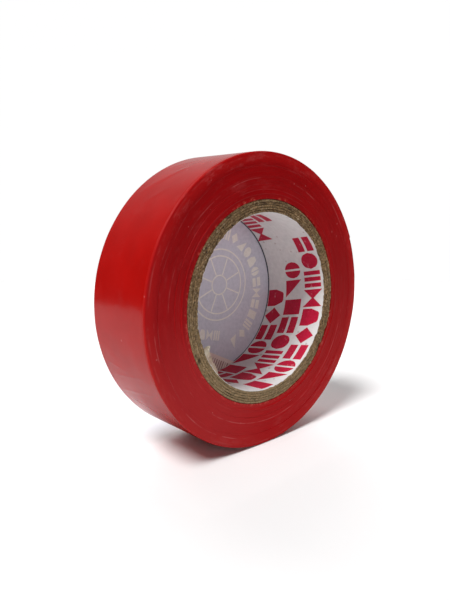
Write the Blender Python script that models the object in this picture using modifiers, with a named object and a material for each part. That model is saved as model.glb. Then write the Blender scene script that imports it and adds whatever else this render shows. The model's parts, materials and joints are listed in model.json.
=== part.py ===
"""Electrical tape roll: PVC tape wound on a spiral-wound chipboard core.

Metres, +Z up. The roll stands on its tread with its axis along Y, and the origin is the
roll's centre. The open end of the bore faces -Y, and a round paper label closes the +Y end.
Angles are measured about the roll's axis, from +X towards +Z.
"""

import math

import bmesh
import bpy

# Tape
TAPE_WIDTH = 0.018
TAPE_THICKNESS = 0.00015
ROLL_DIAMETER = 0.0628
FREE_END_LENGTH = 0.0205
FREE_END_ROOT_ANGLE = math.radians(61.875)

# Core, from the bore outwards: a printed paper liner, then chipboard plies
CORE_BORE_DIAMETER = 0.038
LINER_THICKNESS = 0.00012
PLY_COUNT = 5
PLY_THICKNESS = 0.00042
PLY_STRIP_WIDTH = 0.080
SEAM_GAP = 0.0003
LINER_SEAM_ANGLE = math.radians(185.0)
FIRST_PLY_SEAM_ANGLE = math.radians(218.0)
PLY_SEAM_STAGGER = math.radians(144.0)

# Label on the far side, which stops this far short of the tread
LABEL_MARGIN = 0.0034
LABEL_THICKNESS = 0.00012

# The film of glue between two pieces that are stuck together, left as a clearance
GLUE_LINE = 0.0001

# Faceting of round pieces, with a flat facet at the lowest point of the tread
FACETS = 96
FACET_ANGLE = 2.0 * math.pi / FACETS
SEAM_STEPS = 24
CUTTER_MARGIN = 0.001

PARTS_COLLECTION = "electrical_tape_roll"
CUTTERS_COLLECTION = "cutters"

RED_VINYL = ("red_vinyl", (0.62, 0.012, 0.016), 0.28)
BROWN_CHIPBOARD = ("brown_chipboard", (0.23, 0.14, 0.065), 0.9)
WHITE_LINER_PAPER = ("white_liner_paper", (0.78, 0.79, 0.77), 0.55)
LILAC_LABEL_PAPER = ("lilac_label_paper", (0.42, 0.42, 0.52), 0.6)


def clear_scene():
    for scene_object in list(bpy.data.objects):
        bpy.data.objects.remove(scene_object, do_unlink=True)


def new_collection(name):
    collection = bpy.data.collections.new(name)
    bpy.context.scene.collection.children.link(collection)
    return collection


def principled(name, colour, roughness):
    material = bpy.data.materials.new(name)
    material.use_nodes = True
    shader = material.node_tree.nodes["Principled BSDF"]
    shader.inputs["Base Color"].default_value = (*colour, 1.0)
    shader.inputs["Roughness"].default_value = roughness
    shader.inputs["Metallic"].default_value = 0.0
    return material


def lay_along_y(piece):
    """Turn a piece modelled about its local Z axis so that its own X, Y plane is world X, Z."""
    piece.rotation_euler = (math.pi / 2.0, 0.0, 0.0)


def arc(radius, start, end, end_radius=None):
    """Points from angle start to end, with the radius changing evenly to end_radius."""
    end_radius = radius if end_radius is None else end_radius
    steps = max(1, round(abs(end - start) / FACET_ANGLE))
    points = []
    for step in range(steps + 1):
        share = step / steps
        angle = start + (end - start) * share
        reach = radius + (end_radius - radius) * share
        points.append((reach * math.cos(angle), reach * math.sin(angle)))
    return points


def circle(radius):
    """A closed ring of points whose lowest facet is level."""
    start = FACET_ANGLE / 2.0
    return arc(radius, start, start + 2.0 * math.pi)[:-1]


def extruded_outline(name, outlines, origin, width, look, collection):
    """A flat outline in the X, Z plane, with any holes, given a width along Y."""
    curve = bpy.data.curves.new(name, "CURVE")
    curve.dimensions = "2D"
    curve.fill_mode = "BOTH"
    curve.extrude = width / 2.0
    for outline in outlines:
        spline = curve.splines.new("POLY")
        spline.points.add(len(outline) - 1)
        spline.use_cyclic_u = True
        for point, (across, up) in zip(spline.points, outline):
            point.co = (across - origin[0], up - origin[1], 0.0, 1.0)
    curve.materials.append(principled(*look))
    piece = bpy.data.objects.new(name, curve)
    piece.location = (origin[0], 0.0, origin[1])
    lay_along_y(piece)
    collection.objects.link(piece)
    return piece


def turned_ring(name, inner_radius, outer_radius, width, look, collection):
    """A tube wall about the roll's axis, from a rectangular profile."""
    half = width / 2.0
    profile = ((outer_radius, half), (outer_radius, -half), (inner_radius, -half), (inner_radius, half))
    start = FACET_ANGLE / 2.0
    mesh = bpy.data.meshes.new(name)
    shape = bmesh.new()
    corners = []
    for reach, height in profile:
        corners.append(shape.verts.new((reach * math.cos(start), reach * math.sin(start), height)))
    for corner, next_corner in zip(corners, corners[1:] + corners[:1]):
        shape.edges.new((corner, next_corner))
    shape.to_mesh(mesh)
    shape.free()
    mesh.materials.append(principled(*look))
    piece = bpy.data.objects.new(name, mesh)
    lay_along_y(piece)
    collection.objects.link(piece)
    screw = piece.modifiers.new("turn", "SCREW")
    screw.axis = "Z"
    screw.steps = FACETS
    screw.render_steps = FACETS
    screw.use_merge_vertices = True
    screw.merge_threshold = 0.000001
    screw.use_smooth_shade = True
    return piece


def seam_lead():
    """How far along the core a strip's edge climbs in one turn of its helix."""
    around = math.pi * CORE_BORE_DIAMETER
    return PLY_STRIP_WIDTH / math.sqrt(1.0 - (PLY_STRIP_WIDTH / around) ** 2)


def seam_cutter(name, inner_radius, outer_radius, mid_angle, collection):
    """A twisted blade along the slanted butt seam of a spiral-wound strip."""
    shape = bmesh.new()
    bmesh.ops.create_grid(shape, x_segments=1, y_segments=SEAM_STEPS, size=1.0)
    mid_radius = (inner_radius + outer_radius) / 2.0
    half_depth = (outer_radius - inner_radius) / 2.0 + CUTTER_MARGIN
    half_width = TAPE_WIDTH / 2.0 + CUTTER_MARGIN
    for corner in shape.verts:
        reach = mid_radius + corner.co.x * half_depth
        along = corner.co.y * half_width
        angle = mid_angle + 2.0 * math.pi * along / seam_lead()
        corner.co = (reach * math.cos(angle), along, reach * math.sin(angle))
    mesh = bpy.data.meshes.new(name)
    shape.to_mesh(mesh)
    shape.free()
    cutter = bpy.data.objects.new(name, mesh)
    cutter.hide_render = True
    cutter.display_type = "WIRE"
    collection.objects.link(cutter)
    blade = cutter.modifiers.new("blade", "SOLIDIFY")
    blade.thickness = SEAM_GAP
    blade.offset = 0.0
    return cutter


def wound_tube(name, inner_radius, thickness, seam_angle, look, parts, cutters):
    """One strip of the core: a thin tube wall with a slanted seam where its edges meet."""
    outer_radius = inner_radius + thickness
    tube = turned_ring(name, inner_radius, outer_radius, TAPE_WIDTH, look, parts)
    cutter = seam_cutter(name + "_seam", inner_radius, outer_radius, seam_angle, cutters)
    seam = tube.modifiers.new("seam", "BOOLEAN")
    seam.operation = "DIFFERENCE"
    seam.object = cutter
    return outer_radius


def make_core(parts, cutters):
    """The liner and the plies, each glued round the one before. Returns the core's radius."""
    radius = wound_tube(
        "core_liner",
        CORE_BORE_DIAMETER / 2.0,
        LINER_THICKNESS,
        LINER_SEAM_ANGLE,
        WHITE_LINER_PAPER,
        parts,
        cutters,
    )
    for number in range(PLY_COUNT):
        radius = wound_tube(
            f"core_ply_{number + 1}",
            radius + GLUE_LINE,
            PLY_THICKNESS,
            FIRST_PLY_SEAM_ANGLE + number * PLY_SEAM_STAGGER,
            BROWN_CHIPBOARD,
            parts,
            cutters,
        )
    return radius


def make_tape(core_radius, parts):
    """The wound tape, and the last stretch of its strip, which peels up about its root."""
    outer = ROLL_DIAMETER / 2.0
    root = FREE_END_ROOT_ANGLE
    tip = root - FREE_END_LENGTH / outer
    slack = GLUE_LINE / outer
    layer_below = outer - TAPE_THICKNESS

    tread = arc(outer, root + slack, tip - slack + 2.0 * math.pi, end_radius=layer_below)
    seat = arc(layer_below - GLUE_LINE, tip - slack, root + slack)
    bore = circle(core_radius + GLUE_LINE)
    extruded_outline(
        "tape_winding", [tread + seat, bore], (0.0, 0.0), TAPE_WIDTH, RED_VINYL, parts
    )

    strip = arc(outer, tip, root) + arc(layer_below, root, tip)
    hinge = (outer * math.cos(root), outer * math.sin(root))
    extruded_outline("tape_free_end", [strip], hinge, TAPE_WIDTH, RED_VINYL, parts)


def make_label(parts):
    """The round paper label, glued to the far side over the end of the bore."""
    radius = ROLL_DIAMETER / 2.0 - LABEL_MARGIN
    shape = bmesh.new()
    bmesh.ops.create_cone(
        shape,
        cap_ends=True,
        segments=FACETS,
        radius1=radius,
        radius2=radius,
        depth=LABEL_THICKNESS,
    )
    mesh = bpy.data.meshes.new("label_disc")
    shape.to_mesh(mesh)
    shape.free()
    mesh.materials.append(principled(*LILAC_LABEL_PAPER))
    mesh.shade_smooth()
    mesh.set_sharp_from_angle(angle=math.radians(30.0))
    label = bpy.data.objects.new("label_disc", mesh)
    lay_along_y(label)
    label.location.y = TAPE_WIDTH / 2.0 + GLUE_LINE + LABEL_THICKNESS / 2.0
    parts.objects.link(label)


def main():
    clear_scene()
    parts = new_collection(PARTS_COLLECTION)
    cutters = new_collection(CUTTERS_COLLECTION)
    core_radius = make_core(parts, cutters)
    make_tape(core_radius, parts)
    make_label(parts)


main()
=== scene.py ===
"""Looks of the electrical tape roll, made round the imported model.

Metres, in the model's frame: the roll's centre is the origin, its axis runs along Y with the
open end of the bore at -Y, and it stands on its tread. Angles are measured about the roll's
axis, from +X towards +Z.
"""

import json
import random
from math import atan2, cos, exp, hypot, pi, radians, remainder, sin, sqrt, tau

import bmesh
import bpy
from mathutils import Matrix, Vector, noise


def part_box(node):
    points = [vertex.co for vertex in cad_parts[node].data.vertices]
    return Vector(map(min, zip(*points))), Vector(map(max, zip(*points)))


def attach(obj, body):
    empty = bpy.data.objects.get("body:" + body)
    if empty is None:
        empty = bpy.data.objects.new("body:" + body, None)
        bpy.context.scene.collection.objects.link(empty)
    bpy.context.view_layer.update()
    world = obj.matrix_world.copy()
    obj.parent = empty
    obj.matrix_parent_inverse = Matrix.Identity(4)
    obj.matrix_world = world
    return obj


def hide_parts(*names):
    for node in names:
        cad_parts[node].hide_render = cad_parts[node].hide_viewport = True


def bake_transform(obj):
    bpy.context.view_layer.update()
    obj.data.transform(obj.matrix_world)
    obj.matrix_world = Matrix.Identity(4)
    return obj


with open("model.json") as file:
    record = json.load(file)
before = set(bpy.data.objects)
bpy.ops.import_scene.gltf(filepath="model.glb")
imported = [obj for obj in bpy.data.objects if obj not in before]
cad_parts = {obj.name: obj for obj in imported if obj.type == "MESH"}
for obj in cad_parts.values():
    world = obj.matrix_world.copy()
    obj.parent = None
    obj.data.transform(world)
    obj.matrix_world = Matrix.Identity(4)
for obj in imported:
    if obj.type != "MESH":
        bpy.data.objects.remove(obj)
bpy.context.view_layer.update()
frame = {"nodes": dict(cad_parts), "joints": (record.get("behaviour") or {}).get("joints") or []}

MM = 0.001


# ---- sizes read from the model


def reach(node):
    """The least and the greatest distance of a CAD node's corners from the roll's axis."""
    distances = [hypot(v.co.x, v.co.z) for v in frame["nodes"][node].data.vertices]
    return min(distances), max(distances)


HALF_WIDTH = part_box("tape_winding")[1].y
WINDING_INNER, ROLL_RADIUS = reach("tape_winding")
LINER_INNER, LINER_OUTER = reach("core_liner")
PLIES = [f"core_ply_{number}" for number in range(1, 6)]
PLY_REACH = [reach(ply) for ply in PLIES]
CORE_OUTER = PLY_REACH[-1][1]
LABEL_RADIUS = reach("label_disc")[1]
LABEL_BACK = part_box("label_disc")[0].y
LABEL_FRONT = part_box("label_disc")[1].y
PEEL = frame["joints"][0]
HINGE = Vector(PEEL["pos_m"])
ROOT_ANGLE = atan2(HINGE.z, HINGE.x)
TIP_ANGLE = min(atan2(v.co.z, v.co.x) for v in frame["nodes"]["tape_free_end"].data.vertices)
FILM = ROLL_RADIUS - reach("tape_free_end")[0]

# The slanted seams of the core's strips, at mid width, and their climb along the core in one turn
PLY_STRIP_WIDTH = 0.080
LINER_SEAM_ANGLE = radians(185.0)
FIRST_PLY_SEAM_ANGLE = radians(218.0)
PLY_SEAM_STAGGER = radians(144.0)
STRIP_SHARE = PLY_STRIP_WIDTH / (tau * LINER_INNER)
SEAM_LEAD = PLY_STRIP_WIDTH / sqrt(1.0 - STRIP_SHARE**2)
SEAM_GAP = 0.0003


# ---- camera, floor and light

CAMERA_PLACE = Vector((-0.08442, -0.08956, 0.01981))
CAMERA_AIM = Vector((0.6583, 0.7351, -0.1622))
LENS_MM = 33.32
SENSOR_MM = 36.0


def put_in_scene(piece):
    bpy.context.scene.collection.objects.link(piece)
    return piece


def make_camera():
    data = bpy.data.cameras.new("camera")
    data.lens = LENS_MM
    data.sensor_width = SENSOR_MM
    data.clip_start = 0.005
    camera = bpy.data.objects.new("camera", data)
    camera.location = CAMERA_PLACE
    camera.rotation_euler = CAMERA_AIM.to_track_quat("-Z", "Y").to_euler()
    bpy.context.scene.camera = put_in_scene(camera)


def sun(name, towards, strength, spread, in_reflections=True):
    """A soft, even light that comes from a direction. spread is the width of its disc, in degrees."""
    data = bpy.data.lights.new(name, "SUN")
    data.energy = strength
    data.angle = radians(spread)
    light = bpy.data.objects.new(name, data)
    light.rotation_euler = Vector(towards).to_track_quat("Z", "Y").to_euler()
    light.visible_glossy = in_reflections
    put_in_scene(light)


def stage_piece(name, body, material):
    mesh = bpy.data.meshes.new(name)
    body.to_mesh(mesh)
    body.free()
    mesh.materials.append(material)
    piece = put_in_scene(bpy.data.objects.new(name, mesh))
    return piece


def hide_from(piece, rays):
    for kind in rays:
        setattr(piece, "visible_" + kind, False)


FLOOR_RADIUS = 0.30
FLOOR_WHITE = (0.92, 0.92, 0.92)
BACKDROP_RADIUS = 4.0


def make_floor():
    body = bmesh.new()
    bmesh.ops.create_circle(body, cap_ends=True, segments=128, radius=FLOOR_RADIUS)
    white = Look("floor_white", roughness=0.8, ior=1.5).finish(base_color=(*FLOOR_WHITE, 1.0))
    floor = stage_piece("floor", body, white)
    floor.location.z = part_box("tape_winding")[0].z


# The shade under the roll: its half lengths in X and Y, the widths of its soft edges, and how far
# it lies above the floor
SHADE_X, SHADE_Y = 17.0 * MM, 7.5 * MM
SHADE_EDGE_X, SHADE_EDGE_Y = 13.0 * MM, 16.0 * MM
SHADE_HEIGHT = 0.05 * MM


def make_contact_shade():
    """A darker patch of floor where the roll stands, which only reflections see."""
    body = bmesh.new()
    bmesh.ops.create_grid(body, x_segments=1, y_segments=1, size=1.0)
    for corner in body.verts:
        corner.co.x *= SHADE_X + SHADE_EDGE_X
        corner.co.y *= SHADE_Y + SHADE_EDGE_Y
    look = Look("floor_shade", roughness=0.8, ior=1.5)
    parts = look.parts()
    across = look.spread(look.maths("ABSOLUTE", parts[0]), SHADE_X, SHADE_X + SHADE_EDGE_X)
    along = look.spread(look.maths("ABSOLUTE", parts[1]), SHADE_Y, SHADE_Y + SHADE_EDGE_Y)
    outside = look.maths("MAXIMUM", across, along)
    colour = look.mix(outside, (0.10, 0.08, 0.08), FLOOR_WHITE)
    shade = stage_piece("contact_shade", body, look.finish(base_color=colour))
    shade.location.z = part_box("tape_winding")[0].z + SHADE_HEIGHT
    hide_from(shade, ("camera", "diffuse", "transmission", "volume_scatter", "shadow"))


def make_backdrop():
    """A plain white surround, which the camera sees past the floor and no surface reflects."""
    body = bmesh.new()
    bmesh.ops.create_icosphere(body, subdivisions=4, radius=BACKDROP_RADIUS)
    look = Look("backdrop_white", roughness=1.0, ior=1.5)
    black, white = (0.0, 0.0, 0.0, 1.0), (1.0, 1.0, 1.0, 1.0)
    glowing = look.finish(base_color=black, emission_color=white, emission_strength=1.0)
    backdrop = stage_piece("backdrop", body, glowing)
    hide_from(backdrop, ("diffuse", "glossy", "transmission", "volume_scatter", "shadow"))


# The surroundings are dim, but for a glow behind the roll on the right
GLOW_DIRECTION = Vector((0.62, 0.73, 0.28)).normalized()
GLOW_EDGE = 0.38  # the cosine of its half width
DIM, GLOW = 0.05, 0.55


def make_surroundings():
    world = bpy.data.worlds.new("surroundings")
    world.use_nodes = True
    tree = world.node_tree
    closeness = tree.nodes.new("ShaderNodeVectorMath")
    closeness.operation = "DOT_PRODUCT"
    closeness.inputs[1].default_value = GLOW_DIRECTION
    tree.links.new(tree.nodes.new("ShaderNodeTexCoord").outputs["Generated"], closeness.inputs[0])
    fade = tree.nodes.new("ShaderNodeMapRange")
    for socket, value in (("From Min", GLOW_EDGE), ("To Min", DIM), ("To Max", GLOW)):
        fade.inputs[socket].default_value = value
    background = tree.nodes["Background"]
    background.inputs["Color"].default_value = (1.0, 1.0, 1.0, 1.0)
    tree.links.new(closeness.outputs["Value"], fade.inputs["Value"])
    tree.links.new(fade.outputs["Result"], background.inputs["Strength"])
    bpy.context.scene.world = world


def make_lights():
    sun("key", (-0.50, -0.14, 0.85), 3.3, 22.0)
    sun("fill", (0.35, 0.75, 0.55), 1.5, 60.0, in_reflections=False)
    sun("front", (-0.25, -0.95, 0.15), 0.60, 40.0, in_reflections=False)


# ---- node and mesh helpers


class Look:
    """A material under construction: its node tree and its Principled shader."""

    def __init__(self, name, roughness=0.5, ior=1.45, specular=0.5):
        self.material = bpy.data.materials.new(name)
        self.material.use_nodes = True
        self.tree = self.material.node_tree
        self.shader = self.tree.nodes["Principled BSDF"]
        self.shader.inputs["Roughness"].default_value = roughness
        self.shader.inputs["IOR"].default_value = ior
        self.shader.inputs["Specular IOR Level"].default_value = specular

    def add(self, kind, inputs=None, **settings):
        """A node of a kind, with its settings, and its inputs set or linked."""
        node = self.tree.nodes.new("ShaderNode" + kind)
        for key, value in settings.items():
            setattr(node, key, value)
        for key, value in (inputs or {}).items():
            self.feed(node.inputs[key], value)
        return node

    def feed(self, socket, value):
        if isinstance(value, bpy.types.NodeSocket):
            self.tree.links.new(value, socket)
        else:
            socket.default_value = value

    def maths(self, operation, first, second=0.0, third=0.0):
        return self.add("Math", {0: first, 1: second, 2: third}, operation=operation).outputs[0]

    def spread(self, value, low, high, out_low=0.0, out_high=1.0):
        """A value between low and high, spread evenly from out_low to out_high."""
        inputs = {"Value": value, "From Min": low, "From Max": high}
        inputs.update({"To Min": out_low, "To Max": out_high})
        return self.add("MapRange", inputs).outputs["Result"]

    def mix(self, share, first, second):
        """The colour that lies that share of the way from first to second."""
        node = self.add("Mix", data_type="RGBA")
        self.feed(node.inputs["Factor"], share)
        for socket, value in ((node.inputs[6], first), (node.inputs[7], second)):
            self.feed(socket, (*value, 1.0) if isinstance(value, tuple) else value)
        return node.outputs[2]

    def tint(self, first, second, value, low, high, share=1.0):
        """The first colour, and that share of the second where value rises from low to high."""
        return self.mix(self.spread(value, low, high, 0.0, share), first, second)

    def place(self):
        """Object coordinates, in metres, which share the model's origin."""
        return self.add("TexCoord").outputs["Object"]

    def parts(self):
        """X, Y and Z of the object coordinates."""
        return self.add("SeparateXYZ", {0: self.place()}).outputs

    def noise(self, vector, scale, detail=2.0, roughness=0.5):
        inputs = {"Vector": vector, "Scale": scale, "Detail": detail, "Roughness": roughness}
        return self.add("TexNoise", inputs).outputs["Fac"]

    def round_axis(self, radial=1.0, round_=1.0, along=1.0):
        """Coordinates that follow the roll: its angle as a point on a circle, radius and width as one."""
        parts = self.parts()
        radius = self.radius(parts)
        across = self.both(self.maths("DIVIDE", parts[0], radius), round_)
        up = self.both(self.maths("DIVIDE", parts[2], radius), round_)
        outward, width = self.both(radius, radial), self.both(parts[1], along)
        inputs = {0: across, 1: self.maths("ADD", outward, width), 2: up}
        return self.add("CombineXYZ", inputs).outputs[0]

    def radius(self, parts=None):
        """The distance from the roll's axis."""
        parts = parts or self.parts()
        across, up = self.maths("POWER", parts[0], 2.0), self.maths("POWER", parts[2], 2.0)
        return self.maths("SQRT", self.maths("ADD", across, up))

    def thin_line(self, value, middle, half_width):
        """1 where value is at the middle, down to 0 at half_width from it."""
        away = self.maths("ABSOLUTE", self.maths("SUBTRACT", value, middle))
        return self.spread(away, 0.0, half_width, 1.0, 0.0)

    def towards(self, angle, inner, outer):
        """1 near an angle round the axis, fading from inner to outer radians away from it."""
        direction = (cos(angle), 0.0, sin(angle))
        flat = self.add("VectorMath", {0: self.place(), 1: (1.0, 0.0, 1.0)}, operation="MULTIPLY").outputs[0]
        unit = self.add("VectorMath", {0: flat}, operation="NORMALIZE").outputs[0]
        share = self.add("VectorMath", {0: unit, 1: direction}, operation="DOT_PRODUCT").outputs["Value"]
        return self.spread(share, cos(outer), cos(inner))

    def specks(self, scale, size, seed=0.0):
        """1 in scattered dots, 0 outside. scale dots in a metre, and size is the largest's share of one."""
        cells = self.add("TexVoronoi", {"Vector": self.moved(seed), "Scale": scale})
        chance = self.add("SeparateColor", {0: cells.outputs["Color"]}).outputs
        dot = self.maths("MULTIPLY", self.maths("POWER", chance[0], 4.0), size)
        return self.maths("LESS_THAN", cells.outputs["Distance"], dot)

    def moved(self, seed):
        """Object coordinates shifted by a seed, so that two textures don't coincide."""
        shift = (seed * 0.173, seed * 0.057, seed * 0.111)
        return self.add("VectorMath", {0: self.place(), 1: shift}, operation="ADD").outputs[0]

    def both(self, first, second):
        return self.maths("MULTIPLY", first, second)

    def bump(self, height, distance, strength=1.0, normal=None):
        inputs = {"Height": height, "Distance": distance, "Strength": strength}
        if normal is not None:
            inputs["Normal"] = normal
        return self.add("Bump", inputs).outputs["Normal"]

    def finish(self, **sockets):
        """Feeds the shader's sockets, whose names are given with _ for a space."""
        for key, value in sockets.items():
            self.feed(self.shader.inputs[key.replace("_", " ").title()], value)
        return self.material


def polar(radius, angle, along):
    return Vector((radius * cos(angle), along, radius * sin(angle)))


def heading(angle):
    """The unit vector at an angle, in the X, Z plane of the label."""
    return Vector((cos(angle), sin(angle)))


def wander(point, seed, scale):
    """Smooth noise, from about -1 to 1, at a point in metres. scale is lumps in a metre."""
    return noise.noise(Vector(point) * scale + Vector((seed * 17.31, seed * 5.77, seed * 11.13)))


def add_skin(body, sections, slots=None, closed=True):
    """Faces through loops of the same number of points, back to the first loop or with two caps."""
    count = len(sections[0])
    rows = [[body.verts.new(point) for point in section] for section in sections]
    for row, next_row in zip(rows, rows[1:] + rows[:1] if closed else rows[1:]):
        for index in range(count):
            after = (index + 1) % count
            face = body.faces.new((row[index], row[after], next_row[after], next_row[index]))
            face.material_index = slots[index] if slots else 0
    if not closed:
        body.faces.new(rows[0])
        body.faces.new(rows[-1])


def skin(name, sections, materials, slots=None, closed=True):
    """A closed body through cross-sections. slots gives the material of each point's stretch."""
    body = bmesh.new()
    add_skin(body, sections, slots, closed)
    bmesh.ops.recalc_face_normals(body, faces=body.faces)
    return finish_mesh(name, body, materials)


SHARP_ANGLE = radians(40.0)


def finish_mesh(name, body, materials):
    mesh = bpy.data.meshes.new(name)
    body.to_mesh(mesh)
    body.free()
    for material in materials:
        mesh.materials.append(material)
    mesh.shade_smooth()
    mesh.set_sharp_from_angle(angle=SHARP_ANGLE)
    return put_in_scene(bpy.data.objects.new(name, mesh))


def add_row(body, last, points):
    """A row of corners, joined by faces to the last row if there is one."""
    row = [body.verts.new(point) for point in points]
    if last:
        for index in range(len(row) - 1):
            body.faces.new((last[index], row[index], row[index + 1], last[index + 1]))
    return row


def thicken(body, thickness):
    """Turns open sheets into closed bodies."""
    bmesh.ops.recalc_face_normals(body, faces=body.faces)
    bmesh.ops.solidify(body, geom=body.faces[:], thickness=thickness)
    bmesh.ops.recalc_face_normals(body, faces=body.faces)


def spaced(start, end, steps):
    """Evenly spaced values from start to end, with both."""
    return [start + (end - start) * step / steps for step in range(steps + 1)]


def around(count):
    """Evenly spaced angles round a full turn, without the last, which is the first again."""
    return spaced(0.0, tau, count)[:-1]


# ---- tape

VINYL_DARK, VINYL_LIGHT = (0.345, 0.0030, 0.0020), (0.390, 0.0040, 0.0028)
PALE_VINYL = (0.60, 0.20, 0.20)
CREASED_ANGLE = radians(206.0)


def tread_look():
    """Glossy red film: streaks along the strip, slanted wrinkles low on one side, a duller rim."""
    look = Look("red_vinyl_tread", ior=1.5, specular=0.155)
    streaks = look.noise(look.round_axis(radial=0.0, round_=0.003), 1300.0, 3.0)
    lumps = look.noise(look.place(), 170.0, 2.0)
    grain = look.noise(look.place(), 5200.0, 2.0)
    colour = look.tint(VINYL_DARK, VINYL_LIGHT, lumps, 0.3, 0.7)
    dust = look.specks(260.0, 0.07)
    haze = look.spread(look.noise(look.moved(3.0), 260.0, 4.0, 0.6), 0.55, 0.80, 0.0, 0.035)
    colour = look.mix(look.maths("MAXIMUM", look.both(dust, 0.30), haze), colour, PALE_VINYL)
    slant = look.round_axis(radial=0.0, round_=0.030, along=0.5)
    wrinkles = look.noise(slant, 850.0, 2.0, 0.4)
    wrinkled = look.towards(CREASED_ANGLE, 0.10, 0.34)
    normal = look.bump(lumps, 0.00022, 0.35)
    normal = look.bump(streaks, 0.0000045, 1.0, normal)
    normal = look.bump(look.both(look.spread(wrinkles, 0.35, 0.65), wrinkled), 0.000008, 1.0, normal)
    normal = look.bump(grain, 0.0000004, 1.0, normal)
    roughness = look.spread(streaks, 0.3, 0.7, 0.16, 0.23)
    along = look.maths("ABSOLUTE", look.parts()[1])
    at_rim = look.spread(along, HALF_WIDTH - 0.6 * MM, HALF_WIDTH - 0.2 * MM)
    roughness = look.maths("MULTIPLY_ADD", at_rim, 0.30, roughness)
    return look.finish(base_color=colour, roughness=roughness, normal=normal)


# Pale arcs on the open side, where a turn stands proud: radius and half width in mm, strength
SIDE_ARCS = [
    (radius * MM, half_width * MM, strength)
    for radius, half_width, strength in (
        (30.6, 0.25, 0.35),
        (29.3, 0.16, 0.70),
        (28.4, 0.10, 0.30),
        (26.0, 0.16, 0.65),
        (23.6, 0.10, 0.25),
    )
]


def side_look():
    """The edges of the turns: duller and darker, in fine rings, with pale arcs, smears and dust, and painted
    light that brightens the lower part.
    """
    look = Look("red_vinyl_edges", specular=0.10)
    rings = look.noise(look.round_axis(round_=0.004, along=0.0), 3000.0, 2.0)
    bands = look.noise(look.round_axis(round_=0.003, along=0.0), 650.0, 3.0)
    cloud = look.noise(look.place(), 150.0, 3.0)
    colour = look.tint((0.248, 0.0010, 0.0020), (0.295, 0.0015, 0.0028), bands, 0.3, 0.7)
    colour = look.tint(colour, (0.19, 0.0010, 0.0020), rings, 0.35, 0.75, 0.35)
    radius = look.radius()
    wobble = look.maths("MULTIPLY_ADD", look.noise(look.place(), 60.0, 1.0), 0.9 * MM, -0.45 * MM)
    radius = look.maths("ADD", radius, wobble)
    pale = 0.0
    for number, (middle, half_width, strength) in enumerate(SIDE_ARCS):
        gate = look.spread(look.noise(look.moved(5.0 + number), 95.0, 4.0, 0.65), 0.50, 0.62, 0.0, strength)
        arc = look.both(look.thin_line(radius, middle, half_width), gate)
        pale = look.maths("MAXIMUM", pale, arc) if number else arc
    outermost = look.spread(radius, 28.6 * MM, 29.8 * MM, 0.20, 0.60)
    smudges = look.noise(look.round_axis(round_=0.012, along=0.0), 420.0, 5.0, 0.7)
    smears = look.spread(smudges, 0.55, 0.75)
    above = look.towards(radians(128.0), 0.20, 1.10)
    below = look.towards(radians(300.0), 0.10, 0.60)
    handled = look.spread(look.maths("MAXIMUM", above, below), 0.0, 1.0, 0.35, 1.0)
    smears = look.both(look.both(smears, outermost), handled)
    dust = look.both(look.specks(520.0, 0.13, 1.0), 0.60)
    pale = look.maths("MAXIMUM", pale, look.maths("MAXIMUM", smears, dust))
    # Painted light: the lower part of the open side is made brighter, where more light falls
    painted_light_below = look.towards(radians(258.0), 0.40, 1.75)
    colour = look.mix(look.both(painted_light_below, 0.8), colour, (0.385, 0.0026, 0.0045))
    colour = look.tint(colour, (0.36, 0.0030, 0.0050), cloud, 0.40, 0.80, 0.20)
    shoulder = look.spread(radius, 28.9 * MM, 30.2 * MM, 0.0, 0.75)
    colour = look.mix(shoulder, colour, (0.37, 0.0045, 0.0050))
    colour = look.mix(look.both(pale, 0.40), colour, PALE_VINYL)
    at_core = look.spread(radius, CORE_OUTER + 0.15 * MM, CORE_OUTER + 0.75 * MM, 1.0, 0.0)
    stray = look.spread(look.noise(look.moved(21.0), 1300.0, 3.0, 0.7), 0.52, 0.66, 0.0, 0.45)
    colour = look.mix(look.both(at_core, stray), colour, (0.62, 0.15, 0.10))
    # Painted light: a pale tint low on the left of the open side, where more light falls
    wear_and_painted_light = look.towards(radians(226.0), 0.20, 0.78)
    colour = look.mix(look.both(wear_and_painted_light, 0.055), colour, PALE_VINYL)
    roughness = look.spread(rings, 0.3, 0.7, 0.42, 0.56)
    normal = look.bump(rings, 0.00003, 0.7)
    normal = look.bump(bands, 0.00006, 0.7, normal)
    return look.finish(base_color=colour, roughness=roughness, normal=normal)


def adhesive_look():
    """The sticky side of the film: darker and duller."""
    look = Look("red_adhesive", roughness=0.45)
    cloud = look.noise(look.place(), 700.0, 3.0)
    colour = look.tint((0.28, 0.003, 0.005), (0.36, 0.006, 0.008), cloud, 0.3, 0.7)
    return look.finish(base_color=colour, normal=look.bump(cloud, 0.00002, 0.7))


TURNS = 60
TREAD_STEPS = 42
SEAT_CLEARANCE = 0.02 * MM
STEP_ANGLE = 0.0008

# The rounded rim: how far it reaches in along Y and down, how uneven it is, and where the flat begins
RIM_INSET, RIM_DROP = 0.42 * MM, 0.30 * MM
RIM_UNEVEN = 0.05 * MM
RIM_STEPS = 7
FLAT_HALF_WIDTH = HALF_WIDTH - 1.3 * RIM_INSET

# The turns' edges: the groove beside each, the most that one stands out on the near and the far
# side, the random steps from turn to turn in mm, and how many outer turns even out at the rim
GROOVE_DEPTH = 0.010 * MM
NEAR_HIGHEST, FAR_HIGHEST = 0.12 * MM, 0.04 * MM
TURN_DRIFT = 0.015
TURN_JUMP = 0.04, 0.12
JUMP_CHANCE, JUMP_CHANCE_OUTWARD = 0.05, 0.08
DRIFT_KEPT = 0.90
SETTLED_TURNS = 13

# The tread's bands along the strip and its broad lumps
BAND_HEIGHT, LUMP_HEIGHT = 0.010 * MM, 0.035 * MM

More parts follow.
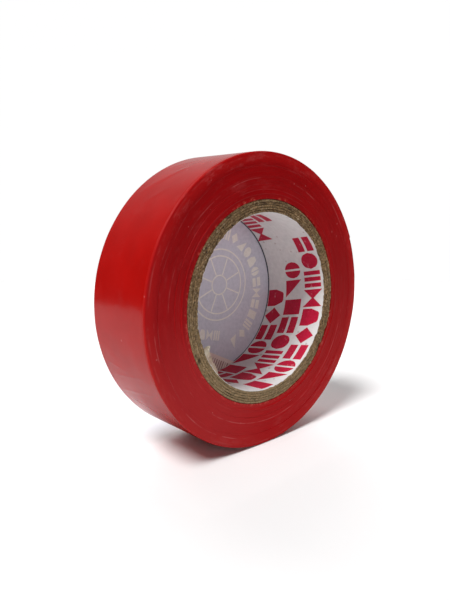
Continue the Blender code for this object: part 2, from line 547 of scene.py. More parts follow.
# Creases in the film, in degrees and mm: the angle and the place along Y of one end and then of
# the other, height and half width
CREASES = [
    (radians(angle_1), y_1 * MM, radians(angle_2), y_2 * MM, height * MM, half_width * MM)
    for angle_1, y_1, angle_2, y_2, height, half_width in (
        (213.6, 8.6, 208.6, -6.4, 0.060, 0.45),
        (205.0, 6.0, 202.0, -5.0, 0.045, 0.40),
        (199.0, 8.0, 201.5, 1.0, 0.035, 0.35),
        (128.0, 3.6, 115.5, -0.6, 0.060, 0.55),
        (123.5, 5.2, 116.5, -2.2, 0.045, 0.50),
        (138.0, 2.4, 129.5, -3.2, 0.050, 0.60),
        (133.0, 6.5, 122.0, 2.4, 0.045, 0.55),
        (117.0, 8.0, 108.0, 1.0, 0.040, 0.55),
    )
]


def tread_height(angle):
    """The winding's outer radius: it falls by one film in a turn, and once more under the free end."""
    past_tip = (angle - TIP_ANGLE) % tau
    seat = (ROOT_ANGLE - TIP_ANGLE) % tau
    if past_tip < seat:
        return ROLL_RADIUS - FILM - SEAT_CLEARANCE
    share = (past_tip - seat) / (tau - seat)
    return ROLL_RADIUS - FILM * share


def rim_drop(along):
    """How far the rounded rim lies below the tread at a place along Y."""
    cosine = max(0.0, 1.0 - (HALF_WIDTH - abs(along)) / RIM_INSET)
    return RIM_DROP * (1.0 - sqrt(max(0.0, 1.0 - cosine * cosine)))


def crease_height(angle, along):
    total = 0.0
    for angle_1, along_1, angle_2, along_2, height, half_width in CREASES:
        span = Vector(((angle_2 - angle_1) * ROLL_RADIUS, along_2 - along_1))
        spot = Vector(((angle % tau - angle_1) * ROLL_RADIUS, along - along_1))
        share = min(1.0, max(0.0, spot.dot(span) / span.dot(span)))
        gap = (spot - span * share).length / half_width
        if gap < 3.0:
            total += height * exp(-gap * gap) * sin(pi * (0.1 + 0.8 * share))
    return total


def tread_relief(angle, along):
    """Unevenness of the drawn film: bands along the strip, broad lumps and a few slanted creases."""
    point = polar(ROLL_RADIUS, angle, along)
    bands = BAND_HEIGHT * wander((along, 0.3 * point.x, 0.3 * point.z), 1, 420.0)
    lumps = LUMP_HEIGHT * wander(point, 2, 95.0)
    return bands + lumps + crease_height(angle, along)


def turn_offsets(seed, highest):
    """How far each turn's edge stands out: a slow wander with a few jumps, more of them far out."""
    rng = random.Random(seed)
    offset = 0.0
    offsets = []
    for turn in range(TURNS):
        outward = turn / TURNS
        offset += rng.uniform(-TURN_DRIFT, TURN_DRIFT) * MM
        if rng.random() < JUMP_CHANCE + JUMP_CHANCE_OUTWARD * outward:
            offset += rng.choice((-1.0, 1.0)) * rng.uniform(*TURN_JUMP) * MM
        offset *= DRIFT_KEPT
        settled = min(1.0, (TURNS - 1 - turn) / SETTLED_TURNS)
        offsets.append(min(offset, highest) * settled)
    return offsets


def winding_section(angle, near_offsets, far_offsets):
    """One cross-section of the wound tape, from the core out along the near side and back."""
    outer = tread_height(angle)
    half = HALF_WIDTH

    def side(sign, offsets):
        rows = []
        top = outer - RIM_DROP
        for turn in range(TURNS):
            groove = GROOVE_DEPTH * min(1.0, (TURNS - 1 - turn) / SETTLED_TURNS)
            for share, height in ((0.10, -groove), (0.55, 0.0)):
                radius = WINDING_INNER + (top - WINDING_INNER) * (turn + share) / TURNS
                drift = wander((cos(angle), turn * 0.30, sin(angle)), sign + 4, 1.3)
                edge = half + (offsets[turn] * (0.8 + 0.9 * drift)) + height
                rows.append(polar(radius, angle, sign * edge))
        return rows

    def rim(sign):
        rows = []
        uneven = RIM_UNEVEN * wander(polar(ROLL_RADIUS, angle, sign * half), 8, 260.0)
        for step in range(RIM_STEPS):
            turned = pi / 2.0 * (step + 0.5) / RIM_STEPS
            along = half - RIM_INSET * (1.0 - cos(turned))
            rows.append(polar(outer - rim_drop(along), angle, sign * (along + uneven)))
        return rows

    points = [polar(WINDING_INNER, angle, -half)]
    points += side(-1.0, near_offsets)
    points += rim(-1.0)
    for along in spaced(-FLAT_HALF_WIDTH, FLAT_HALF_WIDTH, TREAD_STEPS):
        points.append(polar(outer + tread_relief(angle, along), angle, along))
    points += reversed(rim(1.0))
    points += reversed(side(1.0, far_offsets))
    points.append(polar(WINDING_INNER, angle, half))
    return points


# The stretch with the sharpest creases, and the steps before, in and after it and in the seat
CREASED = radians(197.0), radians(217.0)
BEFORE_STEPS, CREASED_STEPS, AFTER_STEPS, SEAT_STEPS = 112, 44, 134, 30


def winding_angles():
    """Angles of the cross-sections, from the free end's root round to its seat."""
    angles = spaced(ROOT_ANGLE + STEP_ANGLE, CREASED[0], BEFORE_STEPS)
    angles += spaced(CREASED[0], CREASED[1], CREASED_STEPS)[1:]
    angles += spaced(CREASED[1], TIP_ANGLE + tau - STEP_ANGLE, AFTER_STEPS)[1:]
    angles += spaced(TIP_ANGLE + tau, ROOT_ANGLE + tau - STEP_ANGLE, SEAT_STEPS)
    return angles


def make_winding(tread, edges):
    near_offsets, far_offsets = turn_offsets(11, NEAR_HIGHEST), turn_offsets(12, FAR_HIGHEST)
    sections = [winding_section(angle, near_offsets, far_offsets) for angle in winding_angles()]
    side_points = 2 * TURNS + 1 + RIM_STEPS // 2
    count = len(sections[0])
    on_tread = range(side_points, count - side_points - 1)
    slots = [0 if index in on_tread else 1 for index in range(count)]
    piece = skin("wound_tape", sections, [tread, edges], slots)
    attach(piece, "roll")
    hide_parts("tape_winding")


FREE_END_STEPS = 56
FREE_END_ACROSS = 24
RIM_SHARES = (0.0, 0.04, 0.12, 0.25, 0.45, 0.7, 1.0)

# The tip stands up a little over its last stretch, and its cut is ragged. Angles are in radians.
TIP_LIFT = 0.06 * MM
TIP_CURL = 0.12
TIP_RAGGED = 0.004


def make_free_end(tread, adhesive):
    """The last stretch of the strip, from its root to its tip, which stands up a little."""
    sections = []
    middle = spaced(-FLAT_HALF_WIDTH, FLAT_HALF_WIDTH, FREE_END_ACROSS)
    edge = [HALF_WIDTH - RIM_INSET * share for share in RIM_SHARES]
    widths = [-place for place in edge] + middle + edge[::-1]
    for angle in spaced(ROOT_ANGLE, TIP_ANGLE, FREE_END_STEPS):
        outside = []
        inside = []
        for along in widths:
            near_tip = max(0.0, 1.0 - abs(angle - TIP_ANGLE) / TIP_CURL)
            lift = TIP_LIFT * near_tip * near_tip
            spot = (along, 0.0, 0.0)
            ragged = wander(spot, 7, 300.0) + 0.5 * wander(spot, 9, 1100.0)
            cut = TIP_RAGGED * near_tip * ragged
            relief = tread_relief(angle, along) * (1.0 - near_tip) - rim_drop(along)
            outside.append(polar(ROLL_RADIUS + relief + lift, angle + cut, along))
            inside.append(polar(ROLL_RADIUS - FILM + relief + lift, angle + cut, along))
        sections.append(outside + inside[::-1])
    sticky = range(len(widths), len(sections[0]) - 1)
    slots = [1 if index in sticky else 0 for index in range(len(sections[0]))]
    piece = skin("free_tape_end", sections, [tread, adhesive], slots, closed=False)
    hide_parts("tape_free_end")
    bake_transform(piece)


# ---- core


def chipboard_look(number):
    """Brown chipboard: speckled with fibres, with painted shade in two of its nicks and painted light that
    makes it paler low down.
    """
    look = Look(f"chipboard_{number}", roughness=0.9, ior=1.4)
    place = look.place()
    speckle = look.noise(place, 1900.0 + 130.0 * number, 5.0, 0.75)
    flecks = look.noise(look.moved(number + 1.0), 1300.0, 2.0, 0.5)
    cloud = look.noise(place, 300.0, 3.0)
    warm = 1.0 + 0.07 * ((number * 7) % 5 - 2)
    dark = (0.066 * warm, 0.036 * warm, 0.014 * warm)
    pale = (0.375 * warm, 0.236 * warm, 0.116 * warm)
    colour = look.tint(dark, pale, speckle, 0.41, 0.61)
    colour = look.tint(colour, (0.19, 0.120, 0.057), cloud, 0.35, 0.65, 0.35)
    colour = look.tint(colour, (0.46, 0.33, 0.20), flecks, 0.60, 0.68, 0.7)
    colour = look.tint(colour, (0.030, 0.016, 0.009), flecks, 0.39, 0.31, 0.85)
    # Painted shade: the first nicks are darkened, as shade in their hollows
    for nick_angle, nick_radius, half_length, depth in NICKS[:SHADED_NICKS]:
        nick = polar(nick_radius, nick_angle, depth - HALF_WIDTH)
        away = look.add("VectorMath", {0: place, 1: nick}, operation="DISTANCE").outputs["Value"]
        nick_shade = look.spread(away, 0.5 * half_length, 1.1 * half_length, 0.9, 0.0)
        colour = look.mix(nick_shade, colour, (0.035, 0.016, 0.010))
    # Painted light: the board is made paler low down, where more light falls
    low = look.towards(radians(250.0), 0.30, 1.50)
    colour = look.mix(look.both(low, 0.50), colour, (0.340, 0.250, 0.135))
    normal = look.bump(speckle, 0.00030, 1.0)
    return look.finish(base_color=colour, normal=normal)


PLY_STEPS = 560
PLY_ACROSS = 4
PLY_ALONG = 8
PLY_CLEARANCE = 0.03 * MM

# The cut face of a ply: the heights of its coarse and fine roughness, how far back it lies on the
# whole, and how far it may stand out past the tape
COARSE_CUT, FINE_CUT = 0.15 * MM, 0.16 * MM
CUT_RECESS = 0.05 * MM
CUT_PROUD = 0.06 * MM

# The line between two plies: its least depth, what it gains on the open side, and its raggedness
LINE_DEPTH, LINE_OPENING, LINE_WANDER = 0.03 * MM, 0.09 * MM, 0.05 * MM
LINE_RAGGED = 0.15 * MM

# Nicks in the cut edge of the core: angle in degrees, and in mm the radius, the half length round
# the core and the depth. The first ones have painted shade in their hollows.
SHADED_NICKS = 2
NICK_HALF_BREADTH = 0.35 * MM
NICKS = [
    (radians(angle), radius * MM, half_length * MM, depth * MM)
    for angle, radius, half_length, depth in (
        (206.5, 20.9, 0.75, 0.55),
        (326.0, 21.5, 0.65, 0.45),
        (63.0, 21.0, 1.60, 0.22),
        (28.0, 20.2, 1.90, 0.20),
        (262.0, 20.6, 0.90, 0.22),
    )
]

# The plies are most open to each other on this side of the core
OPENED_ANGLE = radians(50.0)


def nick_depth(radius, angle):
    total = 0.0
    for nick_angle, nick_radius, half_length, depth in NICKS:
        turned = remainder(angle - nick_angle, tau) * nick_radius / half_length
        across = (radius - nick_radius) / NICK_HALF_BREADTH
        total += depth * exp(-turned * turned - across * across)
    return total


def cut_roughness(spot, seed):
    coarse = COARSE_CUT * wander(spot, 20 + seed, 520.0)
    fine = FINE_CUT * wander(spot, 30 + seed, 1700.0)
    return coarse + fine - CUT_RECESS


def ply_section(number, angle, inner, outer):
    """One cross-section of a ply: rough where the knife cut it, at both ends of the core."""

    def cut_face(sign):
        rows = []
        turned = angle + tau * sign * HALF_WIDTH / SEAM_LEAD
        for step, radius in enumerate(spaced(inner, outer, PLY_ACROSS)):
            spot = polar(radius, turned, sign * HALF_WIDTH)
            at_edge = step in (0, PLY_ACROSS)
            opened = max(0.0, cos(turned - OPENED_ANGLE))
            line = LINE_DEPTH + LINE_OPENING * opened - LINE_WANDER * wander(spot, 45 + number, 700.0)
            ragged = LINE_RAGGED * abs(wander(spot, 40 + number, 420.0)) if at_edge else 0.0
            pulled = ragged if step == 0 else -ragged
            height = cut_roughness(spot, number) - (line if at_edge else 0.0)
            if sign < 0.0:
                height -= nick_depth(radius, turned)
            rows.append(polar(radius + pulled, turned, sign * (HALF_WIDTH + min(height, CUT_PROUD))))
        return rows

    points = cut_face(-1.0)
    for along in spaced(-HALF_WIDTH, HALF_WIDTH, PLY_ALONG)[1:-1]:
        points.append(polar(outer, angle + tau * along / SEAM_LEAD, along))
    points += reversed(cut_face(1.0))
    for along in spaced(HALF_WIDTH, -HALF_WIDTH, PLY_ALONG)[1:-1]:
        points.append(polar(inner, angle + tau * along / SEAM_LEAD, along))
    return points


def make_plies():
    inner = LINER_OUTER
    for number, ply in enumerate(PLIES):
        outer = PLY_REACH[number][1]
        seam = FIRST_PLY_SEAM_ANGLE + number * PLY_SEAM_STAGGER
        half_gap = SEAM_GAP / 2.0 / outer
        angles = spaced(seam + half_gap, seam + tau - half_gap, PLY_STEPS)
        sections = [ply_section(number, angle, inner + PLY_CLEARANCE, outer) for angle in angles]
        piece = skin(f"chipboard_ply_{number + 1}", sections, [chipboard_look(number)], closed=False)
        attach(piece, "roll")
        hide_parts(ply)
        inner = outer


FIBRE_COUNT = 90
FIBRE_SIDES = 5
FIBRE_STEPS = 5
FIBRE_LENGTHS = 0.25, 1.1
FIBRE_THICKNESSES = 0.012, 0.030
FIBRE_NEAR_SHARE = 0.7

# A fibre's ends lie this far below the cut face, and its middle arches up from there
FIBRE_ROOT, FIBRE_ARCH = 0.06 * MM, 0.20 * MM
FIBRE_FAR_LIMIT = 0.05 * MM


def make_fibres():
    """Loose fibres of chipboard that stand out of the cut ends of the core."""
    rng = random.Random(5)
    body = bmesh.new()
    for _ in range(FIBRE_COUNT):
        angle = rng.uniform(0.0, tau)
        radius = rng.uniform(LINER_OUTER + 0.1 * MM, CORE_OUTER - 0.1 * MM)
        slope = rng.uniform(-0.9, 0.9)
        length = rng.uniform(*FIBRE_LENGTHS) * MM
        thickness = rng.uniform(*FIBRE_THICKNESSES) * MM
        side = -1.0 if rng.random() < FIBRE_NEAR_SHARE else 1.0
        rings = []
        for share in spaced(0.0, 1.0, FIBRE_STEPS):
            turned = angle + length * share * cos(slope) / radius
            outward = radius + length * share * sin(slope) * 0.5
            height = HALF_WIDTH - FIBRE_ROOT + FIBRE_ARCH * sin(pi * share * 0.8)
            if side > 0.0:
                height = min(height, HALF_WIDTH + FIBRE_FAR_LIMIT)
            centre = polar(outward, turned, side * height)
            slim = thickness * (1.0 - 0.6 * share)
            spins = around(FIBRE_SIDES)
            rings.append([centre + polar(cos(spin), turned, sin(spin)) * slim for spin in spins])
        add_skin(body, rings, closed=False)
    bmesh.ops.recalc_face_normals(body, faces=body.faces)
    look = Look("loose_fibre", roughness=0.8)
    shade = look.noise(look.place(), 1200.0, 2.0)
    colour = look.tint((0.20, 0.14, 0.085), (0.52, 0.42, 0.31), shade, 0.3, 0.7)
    piece = finish_mesh("core_fibres", body, [look.finish(base_color=colour)])
    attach(piece, "roll")


def liner_look():
    """White coated paper, faintly mottled, with a little pink that came off the tape."""
    look = Look("liner_paper", specular=0.3)
    place = look.place()
    mottle = look.noise(place, 900.0, 4.0, 0.6)
    cloud = look.noise(place, 150.0, 2.0)
    colour = look.tint((0.70, 0.69, 0.68), (0.80, 0.79, 0.78), mottle, 0.3, 0.7)
    colour = look.tint(colour, (0.66, 0.63, 0.63), cloud, 0.4, 0.7, 0.3)
    specks = look.specks(700.0, 0.28, 4.0)
    colour = look.mix(look.both(specks, 0.5), colour, (0.42, 0.30, 0.27))
    normal = look.bump(mottle, 0.00001, 0.5)
    return look.finish(base_color=colour, normal=normal)


LINER_STEPS = 480
LINER_ALONG = 28
LINER_INSET, LINER_UNEVEN = 0.05 * MM, 0.03 * MM
LINER_HALF_GAP = 0.05 * MM
LINER_CLEARANCE = 0.01 * MM

# The near end is cut raggedly, a little short of the core. The far end stops short of the label,
# the most at one angle.
LINER_RECESS, LINER_LEAST_RECESS = 0.24 * MM, 0.03 * MM
LINER_RAGGED, LINER_TORN = 0.15 * MM, 0.19 * MM
LINER_FAR_GAP, LINER_FAR_RAGGED = 0.20 * MM, 0.02 * MM
LINER_GAP_ANGLE = radians(40.0)


def liner_surface(angle, along):
    """The radius of the liner's printed face: nearly round, with the plies' faint unevenness."""
    spot = polar(LINER_INNER, angle, along)
    return LINER_INNER + LINER_UNEVEN * wander(spot, 51, 160.0) + LINER_INSET


def liner_end(angle, sign):
    """How far the liner reaches along the bore from the middle, on the side with that sign."""
    spot = polar(LINER_INNER, angle, sign * HALF_WIDTH)
    if sign < 0.0:
        ragged = LINER_RAGGED * wander(spot, 52, 480.0) + LINER_TORN * wander(spot, 53, 1700.0)
        return HALF_WIDTH - max(LINER_LEAST_RECESS, LINER_RECESS + ragged)
    lifted = max(0.0, cos(angle - LINER_GAP_ANGLE))
    return HALF_WIDTH - LINER_FAR_GAP * lifted - LINER_FAR_RAGGED * (1.0 + wander(spot, 54, 300.0))


def make_liner(paper):
    """The printed paper inside the core, one strip with a slanted seam."""
    sections = []
    half_gap = LINER_HALF_GAP / LINER_INNER
    start, end = LINER_SEAM_ANGLE + half_gap, LINER_SEAM_ANGLE + tau - half_gap
    for base in spaced(start, end, LINER_STEPS):
        inside = []
        outside = []
        near_end = -liner_end(base - tau * HALF_WIDTH / SEAM_LEAD, -1.0)
        far_end = liner_end(base + tau * HALF_WIDTH / SEAM_LEAD, 1.0)
        for along in spaced(near_end, far_end, LINER_ALONG):
            angle = base + tau * along / SEAM_LEAD
            inside.append(polar(liner_surface(angle, along), angle, along))
            outside.append(polar(LINER_OUTER + LINER_CLEARANCE, angle, along))
        sections.append(inside + outside[::-1])
    piece = skin("printed_liner", sections, [paper], closed=False)
    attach(piece, "roll")
    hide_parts("core_liner")


# The crumpled flap of the liner that stands out into the bore: the angles of its lower and upper
# ends, how far it stands out, and the places along Y of its root and its free edge
FLAP_ENDS = radians(225.0), radians(205.0)
FLAP_REACH = 2.10 * MM
FLAP_ROOT, FLAP_EDGE = -8.5 * MM, -6.4 * MM
FLAP_LENGTHWAYS, FLAP_CROSSWAYS = 30, 12
FLAP_THICKNESS = 0.09 * MM

# Its fullness at the lower end and what that gains by the upper end, the share of its length that
# rounds off the upper end, its size when laid flat, and the heights of its large and small crumples
FLAP_FULLNESS, FLAP_WIDENING = 0.62, 0.62
FLAP_ROUNDED = 0.12
FLAP_FLAT = 7.0 * MM, 2.5 * MM
FLAP_CRUMPLES = 0.95 * MM, 0.50 * MM


def flap_point(along, across):
    """A point of the flap, by its shares along the root and out to the free edge."""
    angle = FLAP_ENDS[0] + (FLAP_ENDS[1] - FLAP_ENDS[0]) * along
    spot = (along * FLAP_FLAT[0], across * FLAP_FLAT[1], 0.0)
    into_end = max(0.0, 1.0 - (1.0 - along) / FLAP_ROUNDED)
    rounded = sqrt(max(0.0, 1.0 - into_end**2))
    fullness = (FLAP_FULLNESS + FLAP_WIDENING * along) * rounded
    reach_in = FLAP_REACH * across * fullness * (1.0 + 0.45 * wander(spot, 71, 520.0))
    large, small = FLAP_CRUMPLES
    crumple = across * (large * wander(spot, 72, 480.0) + small * wander(spot, 73, 1150.0))
    along_axis = FLAP_ROOT + (FLAP_EDGE - FLAP_ROOT) * across + crumple
    return polar(LINER_INNER + 0.10 * MM - reach_in - 0.3 * abs(crumple), angle, along_axis)


def make_flap():
    """A thin crumpled sheet, brighter at its upper end and with painted shade at its lower one."""
    body = bmesh.new()
    last = None
    for along in spaced(0.0, 1.0, FLAP_LENGTHWAYS):
        points = [flap_point(along, across) for across in spaced(0.0, 1.0, FLAP_CROSSWAYS)]
        last = add_row(body, last, points)
    thicken(body, FLAP_THICKNESS)
    look = Look("torn_paper", roughness=0.7)
    fibres = look.noise(look.place(), 1600.0, 4.0, 0.65)
    colour = look.tint((0.46, 0.38, 0.26), (0.84, 0.77, 0.62), fibres, 0.3, 0.7)
    # Painted shade: the lower end of the flap is darkened
    painted_shade_low = look.towards(FLAP_ENDS[0] - 0.08, 0.12, 0.25)
    colour = look.mix(look.both(painted_shade_low, 0.65), colour, (0.46, 0.31, 0.23))
    paper = look.finish(base_color=colour, normal=look.bump(fibres, 0.00006, 0.8))
    piece = finish_mesh("liner_flap", body, [paper])
    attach(piece, "roll")


# ---- generic printed marks

# Each mark is a few strips, and a strip is given by where it starts and ends across the mark and
# by the curves of its bottom and top. Widths and heights run from -0.5 to 0.5.


def disc_edge(x):
    return sqrt(max(0.0, 0.25 - x * x))


TRIANGLE = ((-0.50, 0.50, lambda x: -0.5, lambda x: x),)
DISC = ((-0.50, 0.50, lambda x: -disc_edge(x), disc_edge),)
HOUSE = ((-0.50, 0.50, lambda x: -0.5, lambda x: min(0.5, 1.1 - 2.2 * abs(x))),)
DIAMOND = ((-0.50, 0.50, lambda x: abs(x) - 0.5, lambda x: 0.5 - abs(x)),)
BLOCK_WIDTH = 0.9
BLOCK = ((-BLOCK_WIDTH / 2.0, BLOCK_WIDTH / 2.0, lambda x: -0.5, lambda x: 0.5),)
THREE_BARS = tuple((x - 0.12, x + 0.12, *BLOCK[0][2:]) for x in (-0.36, 0.0, 0.36))
TWO_STRIPES = (
    (-0.50, 0.50, lambda x: -0.5, lambda x: -0.08),
    (-0.50, 0.50, lambda x: 0.08, lambda x: 0.5),
)
BOW = ((-0.50, 0.50, lambda x: -abs(x) - 0.06, lambda x: abs(x) + 0.06),)
SPLIT_DISC = (
    (-0.50, -0.06, lambda x: -disc_edge(x), disc_edge),
    (0.06, 0.50, lambda x: -disc_edge(x), disc_edge),
)
MARK_SHAPES = (
    BLOCK, TRIANGLE, SPLIT_DISC, TWO_STRIPES, DIAMOND, HOUSE, BOW, THREE_BARS, DISC, TWO_STRIPES,
)
MARK_COLUMNS = 10
MARK_ROWS = 4
LEAST_HEIGHT = 0.01


def add_mark(body, shape, to_surface):
    """One mark as open sheets. to_surface takes a place on the mark to a point of the surface."""
    for start, end, low, high in shape:
        last = None
        for x in spaced(start, end, MARK_COLUMNS):
            bottom, top = low(x), max(high(x), low(x) + LEAST_HEIGHT)
            last = add_row(body, last, [to_surface(x, y) for y in spaced(bottom, top, MARK_ROWS)])


INK_THICKNESS = 0.012 * MM


def finish_print(name, body, ink):
    """The marks' sheets given the thickness of a coat of ink, as one piece."""
    thicken(body, INK_THICKNESS)
    piece = finish_mesh(name, body, [ink])
    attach(piece, "roll")


def ink_look(name, dark, light, worn):
    """Mottled ink between two shades, worn thin to a third in places."""
    look = Look(name, roughness=0.42, specular=0.3)
    mottle = look.noise(look.place(), 1500.0, 4.0, 0.65)
    colour = look.tint(dark, light, mottle, 0.3, 0.72)
    wear_and_painted_light = look.spread(look.noise(look.moved(2.0), 700.0, 4.0, 0.7), 0.62, 0.72, 0.0, 0.6)
    return look.finish(base_color=look.mix(wear_and_painted_light, colour, worn))


ROW_DEPTHS = (3.4 * MM, 9.4 * MM, 15.2 * MM)
MARK_HEIGHT = 5.0 * MM
MARK_WIDTH = 4.2 * MM
MARK_SLANT = 0.22
MARK_PITCH = radians(14.0)
ROW_START = radians(-88.0)
ROW_SHIFT = radians(-23.0)
MARKS_IN_ROW = 10
ROW_GROUPS = 2


def make_liner_print():
    """Three rows of slanting crimson marks round the bore, each in two groups."""
    body = bmesh.new()
    for row, depth in enumerate(ROW_DEPTHS):
        for group in range(ROW_GROUPS):
            for index in range(MARKS_IN_ROW):
                middle = ROW_START + row * ROW_SHIFT + group * pi + index * MARK_PITCH

                def to_surface(x, y):
                    angle = middle + (x + MARK_SLANT * y) * MARK_WIDTH / LINER_INNER
                    along = -HALF_WIDTH + depth - y * MARK_HEIGHT
                    return polar(liner_surface(angle, along) - INK_THICKNESS, angle, along)

                add_mark(body, MARK_SHAPES[(index + 3 * row) % len(MARK_SHAPES)], to_surface)
    crimson = ink_look("crimson_ink", (0.44, 0.0050, 0.028), (0.58, 0.012, 0.055), (0.70, 0.34, 0.38))
    finish_print("liner_print", body, crimson)


# ---- label


def label_look(name, dark, light, gap_shadow=None):
    """Paper between two shades, and outside the bore the colour given as painted shadow of the gap between
    the liner and the label.
    """
    look = Look(name, roughness=0.55, specular=0.3)
    place = look.place()
    fibres = look.noise(place, 1400.0, 4.0, 0.6)
    cloud = look.noise(place, 130.0, 2.0)
    colour = look.tint(dark, light, fibres, 0.3, 0.7)
    colour = look.tint(colour, light, cloud, 0.4, 0.7, 0.3)
    # Painted shadow: outside the bore, the dark of the gap between the liner's far end and the label
    if gap_shadow:
        edge = look.spread(look.radius(), LINER_INNER - 0.15 * MM, LINER_INNER + 0.05 * MM)
        colour = look.mix(edge, colour, gap_shadow)
    return look.finish(base_color=colour, normal=look.bump(fibres, 0.00001, 0.5))


LABEL_SPOKES = 240
LABEL_INNER_RINGS = 64
LABEL_OUTER_RINGS = 20
LABEL_BOW, LABEL_RIPPLE = 0.12 * MM, 0.10 * MM


def label_sag(radius, angle):
    """How far the paper bows towards -Y over the bore, with its ripples."""
    spot = polar(radius, angle, 0.0)
    free = max(0.0, 1.0 - (radius / LINER_INNER) ** 2)
    ripple = LABEL_RIPPLE * wander(spot, 61, 70.0) * min(1.0, free * 2.0)
    return LABEL_BOW * free + ripple


def label_rings():
    inside = spaced(0.0, LINER_INNER, LABEL_INNER_RINGS)[1:]
    return inside + spaced(LINER_INNER, LABEL_RADIUS, LABEL_OUTER_RINGS)[1:]


def make_label(back, front):
    """The round paper label: printed in front, with the print showing through at the back."""
    body = bmesh.new()
    layers = []
    for base in (LABEL_BACK, LABEL_FRONT):
        rings = []
        for radius in label_rings():
            heights = [(angle, base - label_sag(radius, angle)) for angle in around(LABEL_SPOKES)]
            rings.append([body.verts.new(polar(radius, *height)) for height in heights])
        centre = body.verts.new((0.0, base - label_sag(0.0, 0.0), 0.0))
        layers.append((centre, rings))
    for material_index, (centre, rings) in enumerate(layers):
        for spoke in range(LABEL_SPOKES):
            after = (spoke + 1) % LABEL_SPOKES
            face = body.faces.new((centre, rings[0][spoke], rings[0][after]))
            face.material_index = material_index
            for inner, outer in zip(rings, rings[1:]):
                face = body.faces.new((inner[spoke], outer[spoke], outer[after], inner[after]))
                face.material_index = material_index
    for spoke in range(LABEL_SPOKES):
        after = (spoke + 1) % LABEL_SPOKES
        rim_back, rim_front = layers[0][1][-1], layers[1][1][-1]
        body.faces.new((rim_back[spoke], rim_back[after], rim_front[after], rim_front[spoke]))
    bmesh.ops.recalc_face_normals(body, faces=body.faces)
    piece = finish_mesh("paper_label", body, [back, front])
    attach(piece, "roll")
    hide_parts("label_disc")


# The label's print, as X and Z: a ring of marks, a short row of small marks, a wheel of thin
# lines, a panel of bars and, in front, a border
LABEL_MARK_RADIUS = 14.6 * MM
LABEL_MARK_ANGLES = [radians(angle) for angle in range(-60, 245, 11)]
LABEL_MARK_SIZE = 2.2 * MM, 2.8 * MM
ROW_MARKS = 4
ROW_FIRST_MARK = Vector((-5.6 * MM, -8.9 * MM))
ROW_SLOPE = radians(-12.0)
ROW_MARK_SIZE = 1.9 * MM, 2.4 * MM
ROW_PITCH = 2.3 * MM
WHEEL_CENTRE = Vector((2.0 * MM, 1.9 * MM))
WHEEL_RADII = (2.3 * MM, 6.9 * MM, 8.5 * MM)
WHEEL_SPOKES = 8
WHEEL_LINE = 0.34 * MM
LINE_PATCH = 1.3 * MM
LEAST_PATCHES = 36
PATCH_OVERLAP = 1.12
BORDER_RADIUS = 26.2 * MM
PANEL_CORNER = Vector((-1.9 * MM, -13.6 * MM))
PANEL_SLOPE = radians(-26.0)
PANEL_SIZE = (10.5 * MM, 5.2 * MM)
PANEL_BARS = 14
BAR_WIDTHS = (0.22, 0.34, 0.46)
BAR_MIDDLE, BAR_HEIGHT = 0.55, 0.75  # as shares of the panel's height


def add_label_patch(body, layer, centre, size, turn, shape=BLOCK):
    """One mark on the label: its middle in X, Z, its width and height, and its turn."""
    base, outward = layer
    across = heading(turn)
    up = Vector((-across.y, across.x))

    def to_surface(x, y):
        spot = centre + across * (x * size[0]) + up * (y * size[1])
        sag = label_sag(spot.length, atan2(spot.y, spot.x))
        return Vector((spot.x, base - sag + outward * INK_THICKNESS, spot.y))

    add_mark(body, shape, to_surface)


def add_label_marks(body, layer):
    """The ring of marks and the short row of small ones."""
    for index, angle in enumerate(LABEL_MARK_ANGLES):
        centre = heading(angle) * LABEL_MARK_RADIUS
        shape = MARK_SHAPES[(3 * index + 1) % len(MARK_SHAPES)]
        add_label_patch(body, layer, centre, LABEL_MARK_SIZE, angle - pi / 2.0, shape)
    for index in range(ROW_MARKS):
        centre = ROW_FIRST_MARK + heading(ROW_SLOPE) * ROW_PITCH * index
        shape = MARK_SHAPES[(index + 4) % len(MARK_SHAPES)]
        add_label_patch(body, layer, centre, ROW_MARK_SIZE, ROW_SLOPE, shape)


def add_circle(body, layer, centre, radius):
    """A thin round line, as a chain of short patches."""
    segments = max(LEAST_PATCHES, round(tau * radius / LINE_PATCH))
    length = tau * radius / segments * PATCH_OVERLAP
    for angle in around(segments):
        spot = centre + heading(angle) * radius
        add_label_patch(body, layer, spot, (length, WHEEL_LINE), angle + pi / 2.0)


def add_wheel(body, layer):
    """Three rings of thin line and the spokes between the inner two."""
    for radius in WHEEL_RADII:
        add_circle(body, layer, WHEEL_CENTRE, radius)
    hub, rim = WHEEL_RADII[:2]
    for spoke in range(WHEEL_SPOKES):
        angle = tau * (spoke + 0.5) / WHEEL_SPOKES
        centre = WHEEL_CENTRE + heading(angle) * ((hub + rim) / 2.0)
        add_label_patch(body, layer, centre, (rim - hub, WHEEL_LINE), angle)


def add_panel(body, layer, bars):
    """The pale panel, or the bars on it."""
    along = heading(PANEL_SLOPE)
    down = Vector((along.y, -along.x))
    length, height = PANEL_SIZE
    if not bars:
        centre = PANEL_CORNER + along * (length / 2.0) + down * (height / 2.0)
        add_label_patch(body, layer, centre, (length / BLOCK_WIDTH, height), PANEL_SLOPE)
        return
    rng = random.Random(3)
    for index in range(PANEL_BARS):
        place = length * (index + 0.5) / PANEL_BARS
        centre = PANEL_CORNER + along * place + down * (height * BAR_MIDDLE)
        width = rng.choice(BAR_WIDTHS) * MM
        add_label_patch(body, layer, centre, (width, height * BAR_HEIGHT), PANEL_SLOPE)


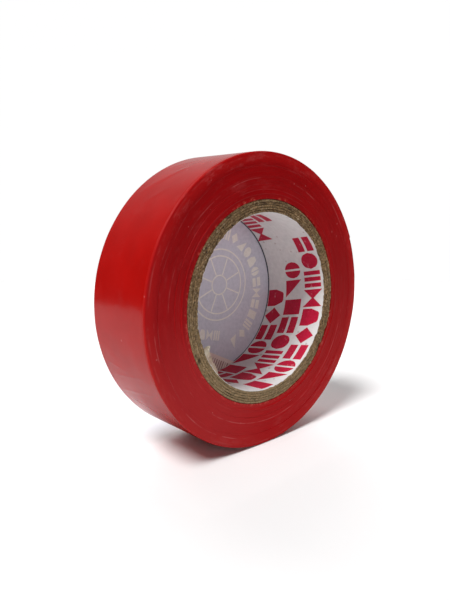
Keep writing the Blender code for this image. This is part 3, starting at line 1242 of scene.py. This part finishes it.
def make_label_print():
    """The print on the label's front, and its ghost at the back."""
    back_layer, front_layer = (LABEL_BACK, -1.0), (LABEL_FRONT, 1.0)
    ghost = ink_look("label_ghost", (0.64, 0.60, 0.56), (0.74, 0.70, 0.65), (0.56, 0.54, 0.57))
    cream = ink_look("label_cream_ink", (0.70, 0.66, 0.58), (0.80, 0.77, 0.70), (0.55, 0.52, 0.50))
    ghost_bars = ink_look("label_ghost_bars", (0.30, 0.18, 0.17), (0.39, 0.26, 0.24), (0.52, 0.40, 0.37))
    dark_bars = ink_look("label_dark_ink", (0.03, 0.03, 0.06), (0.05, 0.05, 0.09), (0.20, 0.18, 0.20))
    ghost_panel = ink_look("label_ghost_panel", (0.62, 0.50, 0.46), (0.72, 0.60, 0.55), (0.55, 0.46, 0.45))
    for side, layer, ink, panel, bars in (
        ("back", back_layer, ghost, ghost_panel, ghost_bars),
        ("front", front_layer, cream, cream, dark_bars),
    ):
        marks = bmesh.new()
        add_label_marks(marks, layer)
        add_wheel(marks, layer)
        finish_print(f"label_{side}_marks", marks, ink)
        plain = bmesh.new()
        add_panel(plain, layer, bars=False)
        finish_print(f"label_{side}_panel", plain, panel)
        barred = bmesh.new()
        base, outward = layer
        add_panel(barred, (base + 2.0 * outward * INK_THICKNESS, outward), bars=True)
        finish_print(f"label_{side}_bars", barred, bars)
    border = bmesh.new()
    add_circle(border, front_layer, Vector((0.0, 0.0)), BORDER_RADIUS)
    finish_print("label_front_border", border, cream)


def main():
    make_camera()
    make_floor()
    make_contact_shade()
    make_backdrop()
    make_surroundings()
    make_lights()
    bpy.context.scene.view_settings.view_transform = "Standard"
    tread, edges, adhesive = tread_look(), side_look(), adhesive_look()
    make_winding(tread, edges)
    make_free_end(tread, adhesive)
    make_plies()
    make_fibres()
    make_liner(liner_look())
    make_flap()
    make_liner_print()
    # The last colour is the painted shadow of the gap between the liner and the label
    back = label_look("label_back", (0.45, 0.44, 0.51), (0.55, 0.53, 0.60), (0.030, 0.038, 0.065))
    front = label_look("label_front", (0.10, 0.11, 0.34), (0.13, 0.14, 0.40))
    make_label(back, front)
    make_label_print()


main()
